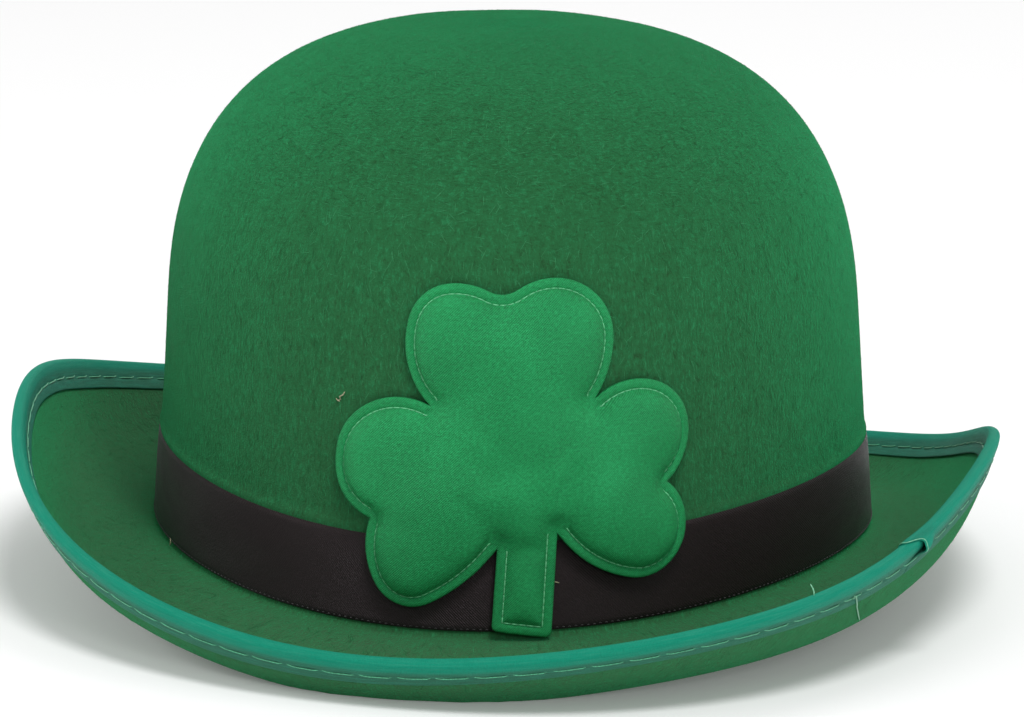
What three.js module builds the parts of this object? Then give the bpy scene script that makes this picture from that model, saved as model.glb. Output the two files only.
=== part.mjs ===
// A leprechaun hat: a moulded felt bowler with a satin band, a folded tape round the brim's
// edge and a padded satin shamrock. Millimetres, +Z up, the front of the hat towards -Y.
// Angles run round the crown in degrees: 0 front, 90 towards +X, 180 back, 270 towards -X.
// Heights are measured from the band's lower edge, where the crown meets the brim.
import * as THREE from 'three';
import { mergeVertices } from 'three/addons/utils/BufferGeometryUtils.js';

// Crown
const CROWN_WIDTH = 172; // over the felt, at the brim
const CROWN_LENGTH = 204.6;
const CROWN_HEIGHT = 122;
const CROWN_LEAN = -3.5; // the top stands this far to the side of the base
const WALL_DRAW_IN = 6; // lost from the half width between the brim and the top
const BASE_FLARE = 0.7; // the half width that the wall gains just above the brim
const BASE_FLARE_HEIGHT = 20;
const DOME_START = 51; // height where the wall begins to round over
const DOME_SIDE_POWER = 2.77; // how long the dome keeps to the wall
const DOME_TOP_POWER = 2.81; // how flat the dome's top is

// Felt brim
const FELT_THICKNESS = 2;
const BRIM_REACH = 48; // out from the crown, at the front
const BRIM_RISE = 30; // the raised sides' edge above the brim's root
const ROOT_SADDLE = 4.3; // the root is this much lower in front and higher at the sides
const ROOT_TURN = 1.5; // radius of the turn from wall to brim
const SADDLE_FADE = 0.75; // share of the crown's height where its rings are level again
const REST_FLATTENING = 1; // pressed flat where the brim rests

// The brim's edge: reach is a share of BRIM_REACH and rise of BRIM_RISE. Lean is the angle
// from upright at which the brim ends, and curl the length of that pull as a share of
// BRIM_REACH.
const BRIM_EDGE = [
  { angle: 0, reach: 1, rise: -0.02, lean: 42, curl: 0.58 },
  { angle: 30, reach: 0.99, rise: 0.237, lean: 45, curl: 0.645 },
  { angle: 60, reach: 0.716, rise: 0.562, lean: 20, curl: 0.575 },
  { angle: 90, reach: 0.593, rise: 0.892, lean: 14, curl: 0.54 },
  { angle: 120, reach: 0.64, rise: 0.53, lean: 28, curl: 0.44 },
  { angle: 150, reach: 0.93, rise: 0.072, lean: 37, curl: 0.465 },
  { angle: 180, reach: 0.99, rise: -0.07, lean: 43, curl: 0.41 },
  { angle: 210, reach: 0.886, rise: 0.255, lean: 46.5, curl: 0.455 },
  { angle: 240, reach: 0.822, rise: 0.638, lean: 27.5, curl: 0.51 },
  { angle: 270, reach: 0.678, rise: 0.989, lean: 9, curl: 0.51 },
  { angle: 300, reach: 0.734, rise: 0.761, lean: 21, curl: 0.555 },
  { angle: 330, reach: 0.912, rise: 0.229, lean: 27, curl: 0.395 },
];

// The brim's cross-section leaves the root at a downward slope and curls up to its edge.
const BRIM_SLOPE = { frontAndBack: 11.1, sides: 1.6 };
const BRIM_RUN = 0.55; // length of the pull at the root, as a share of the local reach

// Band, edge tape and the clearance that every fitted piece keeps
const GAP = 0.3;
const BAND_WIDTH = 20.4;
const BAND_THICKNESS = 1;
const TAPE_THICKNESS = 0.8;
const TAPE_LEG = 7.2; // how far the tape reaches in from the brim's edge, on both faces
const TAPE_EDGE_ROUND = 0.9; // bevel of the tape's rounded outer edge

// Shamrock
const SHAMROCK_WIDTH = 83;
const SHAMROCK_ACROSS = 17.9; // its centre from the hat's front, measured round the crown
const STEM_FOOT_HEIGHT = -1.3; // the stem ends beside the turn into the brim
const PAD_THICKNESS = 3.6;
const PAD_SHOULDER = 9; // distance from the edge where the pad is at full thickness
const RIM_THICKNESS = 1.3;
const RIM_WIDTH = 2.2; // from the edge in to the stitched groove
const RIM_ROUND = 0.5;
const GROOVE_THICKNESS = 0.9;
const LOBE_LIFT = 1; // the side lobes' tips stand off the crown
const PATCH_CLEARANCE = 0.6; // behind the patch, to the felt
const STEP_START = 6; // height above the band where the pad begins to near the felt
const STEP_EASE = 12; // height over which it does so
const STEM_PAD_END = 4.4; // the stem's pad closes this far above its foot

// Outline anticlockwise from the top notch, as seen from the front. Across, up and bulge place
// each point and the arc that leaves it: places are shares of SHAMROCK_WIDTH from the centre,
// and a bulge is the arc's depth as a share of its chord, negative where it turns inward.
// Stem is 0 on the leaf, 1 at the foot.
const SHAMROCK_OUTLINE = [
  { point: 'top notch, left', across: -0.078, up: 0.432, bulge: 0.077, stem: 0 },
  { point: 'top left, crest', across: -0.197, up: 0.446, bulge: 0.14, stem: 0 },
  { point: 'top left, side', across: -0.292, up: 0.36, bulge: 0.147, stem: 0 },
  { point: 'left crotch', across: -0.227, up: 0.139, bulge: 0.139, stem: 0 },
  { point: 'left upper, crest', across: -0.428, up: 0.116, bulge: 0.148, stem: 0 },
  { point: 'left upper, side', across: -0.493, up: -0.053, bulge: 0.131, stem: 0 },
  { point: 'left notch', across: -0.388, up: -0.165, bulge: 0.106, stem: 0 },
  { point: 'left lower, side', across: -0.372, up: -0.342, bulge: 0.205, stem: 0 },
  { point: 'left lower, tip', across: -0.224, up: -0.385, bulge: 0.058, stem: 0 },
  { point: 'stem, left', across: -0.044, up: -0.228, bulge: 0, stem: 0 },
  { point: 'foot, left', across: -0.055, up: -0.442, bulge: 0.2, stem: 1 },
  { point: 'foot, under left', across: -0.044, up: -0.457, bulge: 0, stem: 1 },
  { point: 'foot, under right', across: 0.089, up: -0.4765, bulge: 0.2, stem: 1 },
  { point: 'foot, right', across: 0.105, up: -0.462, bulge: 0, stem: 1 },
  { point: 'stem, right', across: 0.116, up: -0.19, bulge: 0.097, stem: 0 },
  { point: 'right lower, tip', across: 0.329, up: -0.337, bulge: 0.205, stem: 0 },
  { point: 'right lower, side', across: 0.481, up: -0.24, bulge: 0.136, stem: 0 },
  { point: 'right notch', across: 0.428, up: -0.087, bulge: 0.098, stem: 0 },
  { point: 'right upper, side', across: 0.496, up: 0.01, bulge: 0.181, stem: 0 },
  { point: 'right upper, crest', across: 0.406, up: 0.184, bulge: 0.143, stem: 0 },
  { point: 'right crotch', across: 0.216, up: 0.153, bulge: 0.08, stem: 0 },
  { point: 'top right, side', across: 0.269, up: 0.307, bulge: 0.11, stem: 0 },
  { point: 'top right, crest', across: 0.218, up: 0.422, bulge: 0.169, stem: 0 },
  { point: 'top notch, right', across: 0.001, up: 0.438, bulge: -0.128, stem: 0 },
];

// Fineness of the facets. Rings are shares of the way from the edge to the middle.
const AROUND = 60;
const DOME_STEPS = 9;
const WALL_STEPS = 3;
const ROOT_STEPS = 2;
const BRIM_STEPS = 9;
const TAPE_STEPS = 2;
const OUTLINE_STEP = 4.6;
const STEM_STEPS = 4;
const PAD_RINGS = [0.18, 0.4, 0.7, 1];
const BACK_RINGS = [0, 0.25, 0.5, 0.75, 1];
const SHARPEST_COSINE = 0.6; // a narrow corner is inset no further than at this one

const halfWidth = CROWN_WIDTH / 2;
const halfLength = CROWN_LENGTH / 2;

// Helpers
function radians(degrees) {
  return (degrees * Math.PI) / 180;
}

function mix(a, b, share) {
  return a + (b - a) * share;
}

function smoothStep(from, to, value) {
  const share = THREE.MathUtils.clamp((value - from) / (to - from), 0, 1);
  return share * share * (3 - 2 * share);
}

// A column of evenly spaced rows, read at any angle as one smooth closed wave.
function readAround(rows, column, angle) {
  const count = rows.length;
  let total = 0;
  for (const row of rows) {
    const half = radians(angle - row.angle) / 2;
    const sine = Math.sin(half);
    const onRow = Math.abs(sine) < 1e-9;
    total += row[column] * (onRow ? 1 : (Math.sin(count * half) * Math.cos(half)) / (count * sine));
  }
  return total;
}

// Crown
function rootSaddle(angle) {
  return -ROOT_SADDLE * Math.cos(2 * radians(angle));
}

function wallShare(height) {
  const drawIn = (WALL_DRAW_IN / halfWidth) * (height / CROWN_HEIGHT);
  const flare = (BASE_FLARE / halfWidth) * (Math.exp(-Math.max(height, 0) / BASE_FLARE_HEIGHT) - 1);
  return 1 - drawIn + flare;
}

function crownShare(height) {
  const rise = THREE.MathUtils.clamp((height - DOME_START) / (CROWN_HEIGHT - DOME_START), 0, 1);
  return wallShare(height) * (1 - rise ** DOME_SIDE_POWER) ** (1 / DOME_TOP_POWER);
}

function crownPoint(angle, height) {
  const turn = radians(angle);
  const share = crownShare(height);
  const saddleShare = 1 - smoothStep(BAND_WIDTH, SADDLE_FADE * CROWN_HEIGHT, height);
  return new THREE.Vector3(
    halfWidth * share * Math.sin(turn) + (CROWN_LEAN * height) / CROWN_HEIGHT,
    -halfLength * share * Math.cos(turn),
    height + rootSaddle(angle) * saddleShare,
  );
}

// Brim
// A place out from the root oval along its outward direction, and up.
function rootPoint(angle, out, up) {
  const turn = radians(angle);
  const outward = new THREE.Vector2(Math.sin(turn) / halfWidth, -Math.cos(turn) / halfLength);
  outward.normalize();
  const x = halfWidth * Math.sin(turn) + outward.x * out;
  const y = -halfLength * Math.cos(turn) + outward.y * out;
  return new THREE.Vector3(x, y, up);
}

function brimSection(angle) {
  const side = Math.sin(radians(angle)) ** 2;
  const slope = radians(mix(BRIM_SLOPE.frontAndBack, BRIM_SLOPE.sides, side));
  const lean = radians(readAround(BRIM_EDGE, 'lean', angle));
  const reach = BRIM_REACH * readAround(BRIM_EDGE, 'reach', angle);
  const run = BRIM_RUN * reach;
  const curl = BRIM_REACH * readAround(BRIM_EDGE, 'curl', angle);
  const root = new THREE.Vector2(0, rootSaddle(angle) - ROOT_TURN);
  const edge = new THREE.Vector2(reach, BRIM_RISE * readAround(BRIM_EDGE, 'rise', angle));
  const fromRoot = new THREE.Vector2(Math.cos(slope), -Math.sin(slope)).multiplyScalar(run);
  const toEdge = new THREE.Vector2(Math.sin(lean), Math.cos(lean)).multiplyScalar(curl);
  return new THREE.CubicBezierCurve(root, fromRoot.add(root), toEdge.negate().add(edge), edge);
}

// Shares along the section: where the root's turn ends, and a length in from the edge.
function turnShare(section) {
  return ROOT_TURN / (3 * section.v0.distanceTo(section.v1));
}

function shareFromEdge(section, length) {
  return 1 - length / (3 * section.v2.distanceTo(section.v3));
}

function brimShares(section) {
  const first = turnShare(section);
  const last = shareFromEdge(section, TAPE_LEG);
  const shares = [];
  for (let step = 1; step <= BRIM_STEPS; step += 1) {
    shares.push(mix(first, last, step / BRIM_STEPS));
  }
  for (let step = 1; step <= TAPE_STEPS; step += 1) {
    shares.push(mix(last, 1, step / TAPE_STEPS));
  }
  return shares;
}

// The brim's upper face moved down, or outward where it curls, by an amount, and on past its
// edge by a length.
function brimPoint(angle, section, share, down, past = 0) {
  const place = section.getPoint(share);
  const along = section.getTangent(share);
  const out = place.x + along.y * down + along.x * past;
  const up = place.y - along.x * down + along.y * past;
  return rootPoint(angle, out, up);
}

// The turn from the wall to the brim, also moved down or outward.
function turnPoint(angle, section, share, down) {
  const top = new THREE.Vector2(0, section.v0.y + ROOT_TURN);
  const curve = new THREE.QuadraticBezierCurve(top, section.v0, section.getPoint(turnShare(section)));
  const place = curve.getPoint(share);
  const along = curve.getTangent(share);
  return rootPoint(angle, place.x + along.y * down, place.y - along.x * down);
}

// The crown's outer face moved outward along its true normal.
function crownOffset(angle, height, outward) {
  const place = crownPoint(angle, height);
  if (height >= CROWN_HEIGHT) {
    return place.add(new THREE.Vector3(0, 0, outward));
  }
  const small = 0.01;
  const top = Math.min(height + small, CROWN_HEIGHT);
  const round = crownPoint(angle + small, height).sub(crownPoint(angle - small, height));
  const rise = crownPoint(angle, top).sub(crownPoint(angle, height - small));
  return place.addScaledVector(round.cross(rise).normalize(), outward);
}

// Heights of the crown's rings, from the first below the top down to the root.
function crownHeights() {
  const heights = [];
  for (let step = 1; step <= DOME_STEPS; step += 1) {
    const over = Math.cos((step / DOME_STEPS) * (Math.PI / 2));
    heights.push(mix(DOME_START, CROWN_HEIGHT, Math.max(over, 0) ** (2 / DOME_SIDE_POWER)));
  }
  for (let step = 1; step <= WALL_STEPS; step += 1) {
    heights.push(DOME_START * (1 - step / WALL_STEPS));
  }
  return heights;
}

// The lowest that the brim's underside would hang in front and at the back, unflattened.
function restLevel() {
  const samples = 60;
  const lows = [0, 180].map((angle) => {
    const section = brimSection(angle);
    let low = Infinity;
    for (let step = 0; step <= samples; step += 1) {
      low = Math.min(low, brimPoint(angle, section, step / samples, FELT_THICKNESS).z);
    }
    return low;
  });
  return Math.max(...lows) + REST_FLATTENING;
}

// Skins
function allAngles() {
  return Array.from({ length: AROUND }, (_, index) => (360 * index) / AROUND);
}

function geometryFrom(places, triangles) {
  const rough = new THREE.BufferGeometry();
  rough.setAttribute('position', new THREE.Float32BufferAttribute(places.flatMap((p) => p.toArray()), 3));
  rough.setIndex(triangles);
  const geometry = mergeVertices(rough);
  const index = Array.from(geometry.index.array);
  const kept = [];
  for (let i = 0; i < index.length; i += 3) {
    const [a, b, c] = index.slice(i, i + 3);
    if (a !== b && b !== c && c !== a) {
      kept.push(a, b, c);
    }
  }
  geometry.setIndex(kept);
  geometry.computeVertexNormals();
  return geometry;
}

// Joins rings of equal count into one skin. A closed skin joins its last ring to the first.
function skin(rings, closed) {
  const count = rings[0].length;
  const triangles = [];
  const lastRing = closed ? rings.length : rings.length - 1;
  for (let ring = 0; ring < lastRing; ring += 1) {
    const here = ring * count;
    const there = ((ring + 1) % rings.length) * count;
    for (let step = 0; step < count; step += 1) {
      const next = (step + 1) % count;
      triangles.push(here + step, there + step, there + next);
      triangles.push(here + step, there + next, here + next);
    }
  }
  return geometryFrom(rings.flat(), triangles);
}

function ringOf(placeAt) {
  return allAngles().map(placeAt);
}

// Felt body: one sheet from the crown's top to the brim's edge and back along its inside
function feltFace(depth, floor) {
  const rings = [ringOf((angle) => crownOffset(angle, CROWN_HEIGHT, -depth))];
  for (const height of crownHeights()) {
    rings.push(ringOf((angle) => crownOffset(angle, height, -depth)));
  }
  for (let step = 1; step <= ROOT_STEPS; step += 1) {
    rings.push(ringOf((angle) => turnPoint(angle, brimSection(angle), step / ROOT_STEPS, depth)));
  }
  const brimRings = BRIM_STEPS + TAPE_STEPS;
  for (let step = 0; step < brimRings; step += 1) {
    rings.push(ringOf((angle) => {
      const section = brimSection(angle);
      return brimPoint(angle, section, brimShares(section)[step], depth);
    }));
  }
  for (const place of rings.flat()) {
    place.z = Math.max(place.z, floor);
  }
  return rings;
}

function feltBody() {
  const floor = restLevel();
  const outer = feltFace(0, floor + FELT_THICKNESS);
  const inner = feltFace(FELT_THICKNESS, floor);
  return skin([...outer, ...inner.reverse()], false);
}

// Hat band: a ribbon round the foot of the crown
function hatBand() {
  const inside = GAP;
  const outside = GAP + BAND_THICKNESS;
  const rows = [
    { height: BAND_WIDTH, outward: outside },
    { height: BAND_WIDTH / 2, outward: outside },
    { height: 0, outward: outside },
    { height: 0, outward: inside },
    { height: BAND_WIDTH / 2, outward: inside },
    { height: BAND_WIDTH, outward: inside },
  ];
  return skin(rows.map((row) => ringOf((angle) => crownOffset(angle, row.height, row.outward))), true);
}

// Edge binding: a tape folded over the brim's edge, with a leg on each face
function edgeBinding() {
  const inside = GAP;
  const outside = GAP + TAPE_THICKNESS;
  const bevelPast = outside - TAPE_EDGE_ROUND * (1 - Math.SQRT1_2);
  const bevelIn = TAPE_EDGE_ROUND * (1 - Math.SQRT1_2);
  const rows = [];
  for (let step = 0; step <= TAPE_STEPS; step += 1) {
    rows.push({ inward: TAPE_LEG * (1 - step / TAPE_STEPS), down: -outside });
  }
  rows.push({ inward: -bevelPast, down: bevelIn - outside });
  rows.push({ inward: -outside, down: TAPE_EDGE_ROUND - outside });
  rows.push({ inward: -outside, down: FELT_THICKNESS + outside - TAPE_EDGE_ROUND });
  rows.push({ inward: -bevelPast, down: FELT_THICKNESS + outside - bevelIn });
  for (let step = 0; step <= TAPE_STEPS; step += 1) {
    rows.push({ inward: (TAPE_LEG * step) / TAPE_STEPS, down: FELT_THICKNESS + outside });
  }
  for (let step = TAPE_STEPS; step >= 1; step -= 1) {
    rows.push({ inward: (TAPE_LEG * step) / TAPE_STEPS, down: FELT_THICKNESS + inside });
  }
  rows.push({ inward: -inside, down: FELT_THICKNESS + inside });
  rows.push({ inward: -inside, down: -inside });
  for (let step = 1; step <= TAPE_STEPS; step += 1) {
    rows.push({ inward: (TAPE_LEG * step) / TAPE_STEPS, down: -inside });
  }
  const ring = (row) => ringOf((angle) => {
    const section = brimSection(angle);
    const share = Math.min(shareFromEdge(section, row.inward), 1);
    return brimPoint(angle, section, share, row.down, Math.max(-row.inward, 0));
  });
  return skin(rows.map(ring), true);
}

// Shamrock
// One stretch of the outline: points on the arc from a row towards the next, the first included.
function outlineStretch(row, next) {
  const from = new THREE.Vector2(row.across, row.up).multiplyScalar(SHAMROCK_WIDTH);
  const to = new THREE.Vector2(next.across, next.up).multiplyScalar(SHAMROCK_WIDTH);
  const chord = from.distanceTo(to);
  const along = to.clone().sub(from).divideScalar(chord);
  const outward = new THREE.Vector2(along.y, -along.x);
  const depth = row.bulge * chord;
  const onStemSide = row.stem !== next.stem;
  const steps = onStemSide ? STEM_STEPS : Math.max(Math.round(chord / OUTLINE_STEP), depth === 0 ? 1 : 2);
  const radius = depth === 0 ? 0 : (chord * chord) / (8 * depth) + depth / 2;
  const half = depth === 0 ? 0 : Math.asin(chord / 2 / radius);
  return Array.from({ length: steps }, (_, index) => {
    const share = index / steps;
    const turn = mix(-half, half, share);
    const run = depth === 0 ? chord * share : chord / 2 + radius * Math.sin(turn);
    const rise = depth === 0 ? 0 : radius * (Math.cos(turn) - 1) + depth;
    const place = from.clone().addScaledVector(along, run).addScaledVector(outward, rise);
    return { place, stem: mix(row.stem, next.stem, share) };
  });
}

function shamrockOutline() {
  return SHAMROCK_OUTLINE.flatMap((row, index) => {
    return outlineStretch(row, SHAMROCK_OUTLINE[(index + 1) % SHAMROCK_OUTLINE.length]);
  });
}

function distanceToOutline(place, outline) {
  let least = Infinity;
  outline.forEach((corner, index) => {
    const from = corner.place;
    const side = outline[(index + 1) % outline.length].place.clone().sub(from);
    const share = THREE.MathUtils.clamp(place.clone().sub(from).dot(side) / side.lengthSq(), 0, 1);
    least = Math.min(least, place.distanceTo(side.multiplyScalar(share).add(from)));
  });
  return least;
}

// The outline moved inward by an amount, along the bisector at each of its points.
function insetOutline(outline, amount) {
  const count = outline.length;
  return outline.map((corner, index) => {
    const before = corner.place.clone().sub(outline[(index + count - 1) % count].place).normalize();
    const after = outline[(index + 1) % count].place.clone().sub(corner.place).normalize();
    const along = before.add(after);
    const inward = new THREE.Vector2(-along.y, along.x).normalize();
    const cosine = Math.abs(inward.x * -after.y + inward.y * after.x);
    const place = corner.place.clone().addScaledVector(inward, amount / Math.max(cosine, SHARPEST_COSINE));
    return { place, stem: corner.stem };
  });
}

// The leaf shrinks to its centre and the stem to the line down its middle.
function drawnIn(ring, share) {
  const feet = SHAMROCK_OUTLINE.filter((row) => row.stem === 1);
  const foot = new THREE.Vector2(0, 0);
  feet.forEach((row) => foot.add(new THREE.Vector2(row.across, row.up)));
  foot.multiplyScalar(SHAMROCK_WIDTH / feet.length);
  foot.y += STEM_PAD_END;
  return ring.map(({ place, stem }) => {
    return { place: place.clone().lerp(foot.clone().multiplyScalar(stem), share), stem };
  });
}

// The angle round the crown at a length round its foot, walked in short steps.
function angleAtLength(length) {
  const steps = 60;
  let turn = 0;
  for (let step = 0; step < steps; step += 1) {
    turn += length / steps / Math.hypot(halfWidth * Math.cos(turn), halfLength * Math.sin(turn));
  }
  return (turn * 180) / Math.PI;
}

// A place on the flat shamrock laid on the crown, over the band, at a thickness above its back.
function shamrockPoint(place, thickness) {
  const foot = Math.min(...SHAMROCK_OUTLINE.map((row) => row.up)) * SHAMROCK_WIDTH;
  const height = place.y - foot + STEM_FOOT_HEIGHT;
  const angle = angleAtLength((SHAMROCK_ACROSS + place.x) / crownShare(height));
  const stepFoot = BAND_WIDTH + STEP_START;
  const onBand = 1 - smoothStep(stepFoot, stepFoot + STEP_EASE, height);
  const lift = LOBE_LIFT * ((2 * place.x) / SHAMROCK_WIDTH) ** 2;
  const back = PATCH_CLEARANCE + (BAND_THICKNESS + GAP) * onBand + lift;
  return crownOffset(angle, height, back + thickness);
}

function padThickness(distance) {
  const share = THREE.MathUtils.clamp((distance - RIM_WIDTH) / (PAD_SHOULDER - RIM_WIDTH), 0, 1);
  return mix(GROOVE_THICKNESS, PAD_THICKNESS, Math.sqrt(1 - (1 - share) ** 2));
}

function shamrockPatch() {
  const outline = shamrockOutline();
  const lay = (ring, thickness) => ring.map(({ place }) => shamrockPoint(place, thickness));
  const groove = insetOutline(outline, RIM_WIDTH);
  const pad = PAD_RINGS.map((share) => {
    return drawnIn(groove, share).map(({ place }) => {
      return shamrockPoint(place, padThickness(distanceToOutline(place, outline)));
    });
  });
  const front = [
    lay(outline, RIM_THICKNESS - RIM_ROUND),
    lay(insetOutline(outline, RIM_ROUND), RIM_THICKNESS),
    lay(groove, GROOVE_THICKNESS),
    ...pad,
  ];
  const back = BACK_RINGS.map((share) => lay(drawnIn(outline, share), 0));
  return skin([...front.reverse(), ...back], false);
}

// The hat, standing on its brim with the origin under the middle of its box
function piece(name, geometry, color, roughness) {
  const mesh = new THREE.Mesh(geometry, new THREE.MeshStandardMaterial({ color, roughness, metalness: 0 }));
  mesh.name = name;
  return mesh;
}

const hat = new THREE.Group();
hat.add(piece('felt_body', feltBody(), 0x1f6b3c, 0.95));
hat.add(piece('hat_band', hatBand(), 0x1f1a1a, 0.4));
hat.add(piece('edge_binding', edgeBinding(), 0x1d8a72, 0.6));
hat.add(piece('shamrock_patch', shamrockPatch(), 0x218a4c, 0.45));

const box = new THREE.Box3().setFromObject(hat);
const middle = box.getCenter(new THREE.Vector3());
hat.position.set(-middle.x, -middle.y, -box.min.z);

export default hat;
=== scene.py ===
import math

import bpy
import numpy as np
from mathutils import Matrix, Vector
from mathutils.geometry import delaunay_2d_cdt


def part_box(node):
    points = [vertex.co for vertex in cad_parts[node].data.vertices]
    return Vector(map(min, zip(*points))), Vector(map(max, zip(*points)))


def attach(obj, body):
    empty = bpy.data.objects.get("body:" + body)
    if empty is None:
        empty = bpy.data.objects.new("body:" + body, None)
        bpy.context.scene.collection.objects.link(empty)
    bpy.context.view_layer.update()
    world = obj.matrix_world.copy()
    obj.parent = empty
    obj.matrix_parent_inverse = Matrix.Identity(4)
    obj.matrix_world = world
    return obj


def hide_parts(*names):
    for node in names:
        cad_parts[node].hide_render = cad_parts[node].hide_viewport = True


# A leprechaun hat: felt bowler, satin band, folded edge tape and a padded satin shamrock.
# Shapes are worked out in millimetres in the hat's own frame, with heights from the band's
# lower edge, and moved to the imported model's frame in metres when a mesh is made.
# Angles are radians round the crown: 0 front, a quarter turn towards +X.

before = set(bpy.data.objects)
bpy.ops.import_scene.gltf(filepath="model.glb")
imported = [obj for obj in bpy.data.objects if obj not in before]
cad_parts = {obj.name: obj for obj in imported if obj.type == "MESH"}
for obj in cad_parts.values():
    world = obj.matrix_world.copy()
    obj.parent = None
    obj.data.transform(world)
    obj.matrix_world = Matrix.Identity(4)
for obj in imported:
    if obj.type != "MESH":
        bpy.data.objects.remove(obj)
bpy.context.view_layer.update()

# Sizes shared with the solids
CROWN_WIDTH = 172
CROWN_LENGTH = 204.6
CROWN_HEIGHT = 122
CROWN_LEAN = -3.5
WALL_DRAW_IN = 6
BASE_FLARE = 0.7
BASE_FLARE_HEIGHT = 20
DOME_START = 51
DOME_SIDE_POWER = 2.77
DOME_TOP_POWER = 2.81
FELT_THICKNESS = 2
BRIM_REACH = 48
BRIM_RISE = 30
ROOT_SADDLE = 4.3
ROOT_TURN = 1.5
SADDLE_FADE = 0.75
REST_FLATTENING = 1
GAP = 0.3
BAND_WIDTH = 20.4
BAND_THICKNESS = 1
TAPE_LEG = 7.2
SHAMROCK_WIDTH = 83
SHAMROCK_ACROSS = 17.9
STEM_FOOT_HEIGHT = -1.3
PAD_THICKNESS = 3.6
RIM_WIDTH = 2.2
GROOVE_THICKNESS = 0.9
LOBE_LIFT = 1
PATCH_CLEARANCE = 0.6
STEP_START = 6
STEP_EASE = 12

# The brim's edge every thirty degrees from the front: shares of BRIM_REACH and BRIM_RISE, its
# lean from upright in degrees, and its last pull as a share of BRIM_REACH
EDGE_REACH = [1.0, 0.99, 0.716, 0.593, 0.64, 0.93, 0.99, 0.886, 0.822, 0.678, 0.734, 0.912]
EDGE_RISE = [-0.02, 0.237, 0.562, 0.892, 0.53, 0.072, -0.07, 0.255, 0.638, 0.989, 0.761, 0.229]
EDGE_LEAN = [42, 45, 20, 14, 28, 37, 43, 46.5, 27.5, 9, 21, 27]
EDGE_CURL = [0.58, 0.645, 0.575, 0.54, 0.44, 0.465, 0.41, 0.455, 0.51, 0.51, 0.555, 0.395]

# The brim leaves its root at this slope, in front and at the sides
BRIM_SLOPE = (11.1, 1.6)
BRIM_RUN = 0.55

# Shamrock outline, anticlockwise from the top notch: across, up and the bulge of the arc that
# follows, which is negative where it turns inward
SHAMROCK_OUTLINE = [
    (-0.078, 0.432, 0.077),
    (-0.197, 0.446, 0.14),
    (-0.292, 0.36, 0.147),
    (-0.227, 0.139, 0.139),
    (-0.428, 0.116, 0.148),
    (-0.493, -0.053, 0.131),
    (-0.388, -0.165, 0.106),
    (-0.372, -0.342, 0.205),
    (-0.224, -0.385, 0.058),
    (-0.044, -0.228, 0),
    (-0.055, -0.442, 0.2),
    (-0.044, -0.457, 0),
    (0.089, -0.4765, 0.2),
    (0.105, -0.462, 0),
    (0.116, -0.19, 0.097),
    (0.329, -0.337, 0.205),
    (0.481, -0.24, 0.136),
    (0.428, -0.087, 0.098),
    (0.496, 0.01, 0.181),
    (0.406, 0.184, 0.143),
    (0.216, 0.153, 0.08),
    (0.269, 0.307, 0.11),
    (0.218, 0.422, 0.169),
    (0.001, 0.438, -0.128),
]

# The camera that matches the photograph: where it looks from, and where on the hat it aims
IMAGE_WIDTH = 1024
CAMERA_AZIMUTH = 9.93
CAMERA_ELEVATION = 10.43
CAMERA_ROLL = 1.71
CAMERA_DISTANCE = 1692
PIXELS_PER_MM = 4.14
CAMERA_TARGET_HEIGHT = 50
AIM_RIGHT = -1.64
AIM_UP = -9.62

MM = 0.001
TURN = 2 * math.pi
half_width = CROWN_WIDTH / 2
half_length = CROWN_LENGTH / 2

band_low, band_high = (np.array(corner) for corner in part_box("hat_band"))
band_middle = (band_low + band_high) / 2
hat_shift = np.array([band_middle[0], band_middle[1], band_low[2] + ROOT_SADDLE * MM])
rng = np.random.default_rng(17)


# Surface forms
def smooth_step(start, end, value):
    share = np.clip((value - start) / (end - start), 0, 1)
    return share * share * (3 - 2 * share)


def read_around(values, angle):
    """A column of evenly spaced values, read at any angle as one smooth closed wave."""
    count = len(values)
    total = 0
    for row, value in enumerate(values):
        half = (angle - row * TURN / count) / 2
        sine = np.sin(half)
        safe = np.where(np.abs(sine) < 1e-9, 1, sine)
        wave = np.sin(count * half) * np.cos(half) / (count * safe)
        total = total + value * np.where(np.abs(sine) < 1e-9, 1, wave)
    return total


def root_saddle(angle):
    return -ROOT_SADDLE * np.cos(2 * angle)


def crown_share(height):
    draw_in = WALL_DRAW_IN / half_width * height / CROWN_HEIGHT
    flare = BASE_FLARE / half_width * (np.exp(-np.maximum(height, 0) / BASE_FLARE_HEIGHT) - 1)
    rise = np.clip((height - DOME_START) / (CROWN_HEIGHT - DOME_START), 0, 1)
    return (1 - draw_in + flare) * (1 - rise ** DOME_SIDE_POWER) ** (1 / DOME_TOP_POWER)


def crown_place(angle, height):
    share = crown_share(height)
    saddle_share = 1 - smooth_step(BAND_WIDTH, SADDLE_FADE * CROWN_HEIGHT, height)
    x = half_width * share * np.sin(angle) + CROWN_LEAN * height / CROWN_HEIGHT
    y = -half_length * share * np.cos(angle)
    z = height + root_saddle(angle) * saddle_share
    return np.stack(np.broadcast_arrays(x, y, z), -1)


def length_along(places):
    """The distance from the first of a row of places to each of them."""
    steps = np.linalg.norm(np.diff(places, axis=0), axis=-1)
    return np.concatenate([[0], np.cumsum(steps)])


def unit(vectors):
    return vectors / np.maximum(np.linalg.norm(vectors, axis=-1, keepdims=True), 1e-12)


def crown_normal(angle, height):
    small = 0.01
    top = np.minimum(height + small, CROWN_HEIGHT)
    around = crown_place(angle + small, height) - crown_place(angle - small, height)
    rise = crown_place(angle, top) - crown_place(angle, top - 2 * small)
    return unit(np.cross(around, rise))


def crown_offset(angle, height, outward):
    angle, height, outward = np.broadcast_arrays(angle, height, outward)
    return crown_place(angle, height) + crown_normal(angle, height) * outward[..., None]


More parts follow.
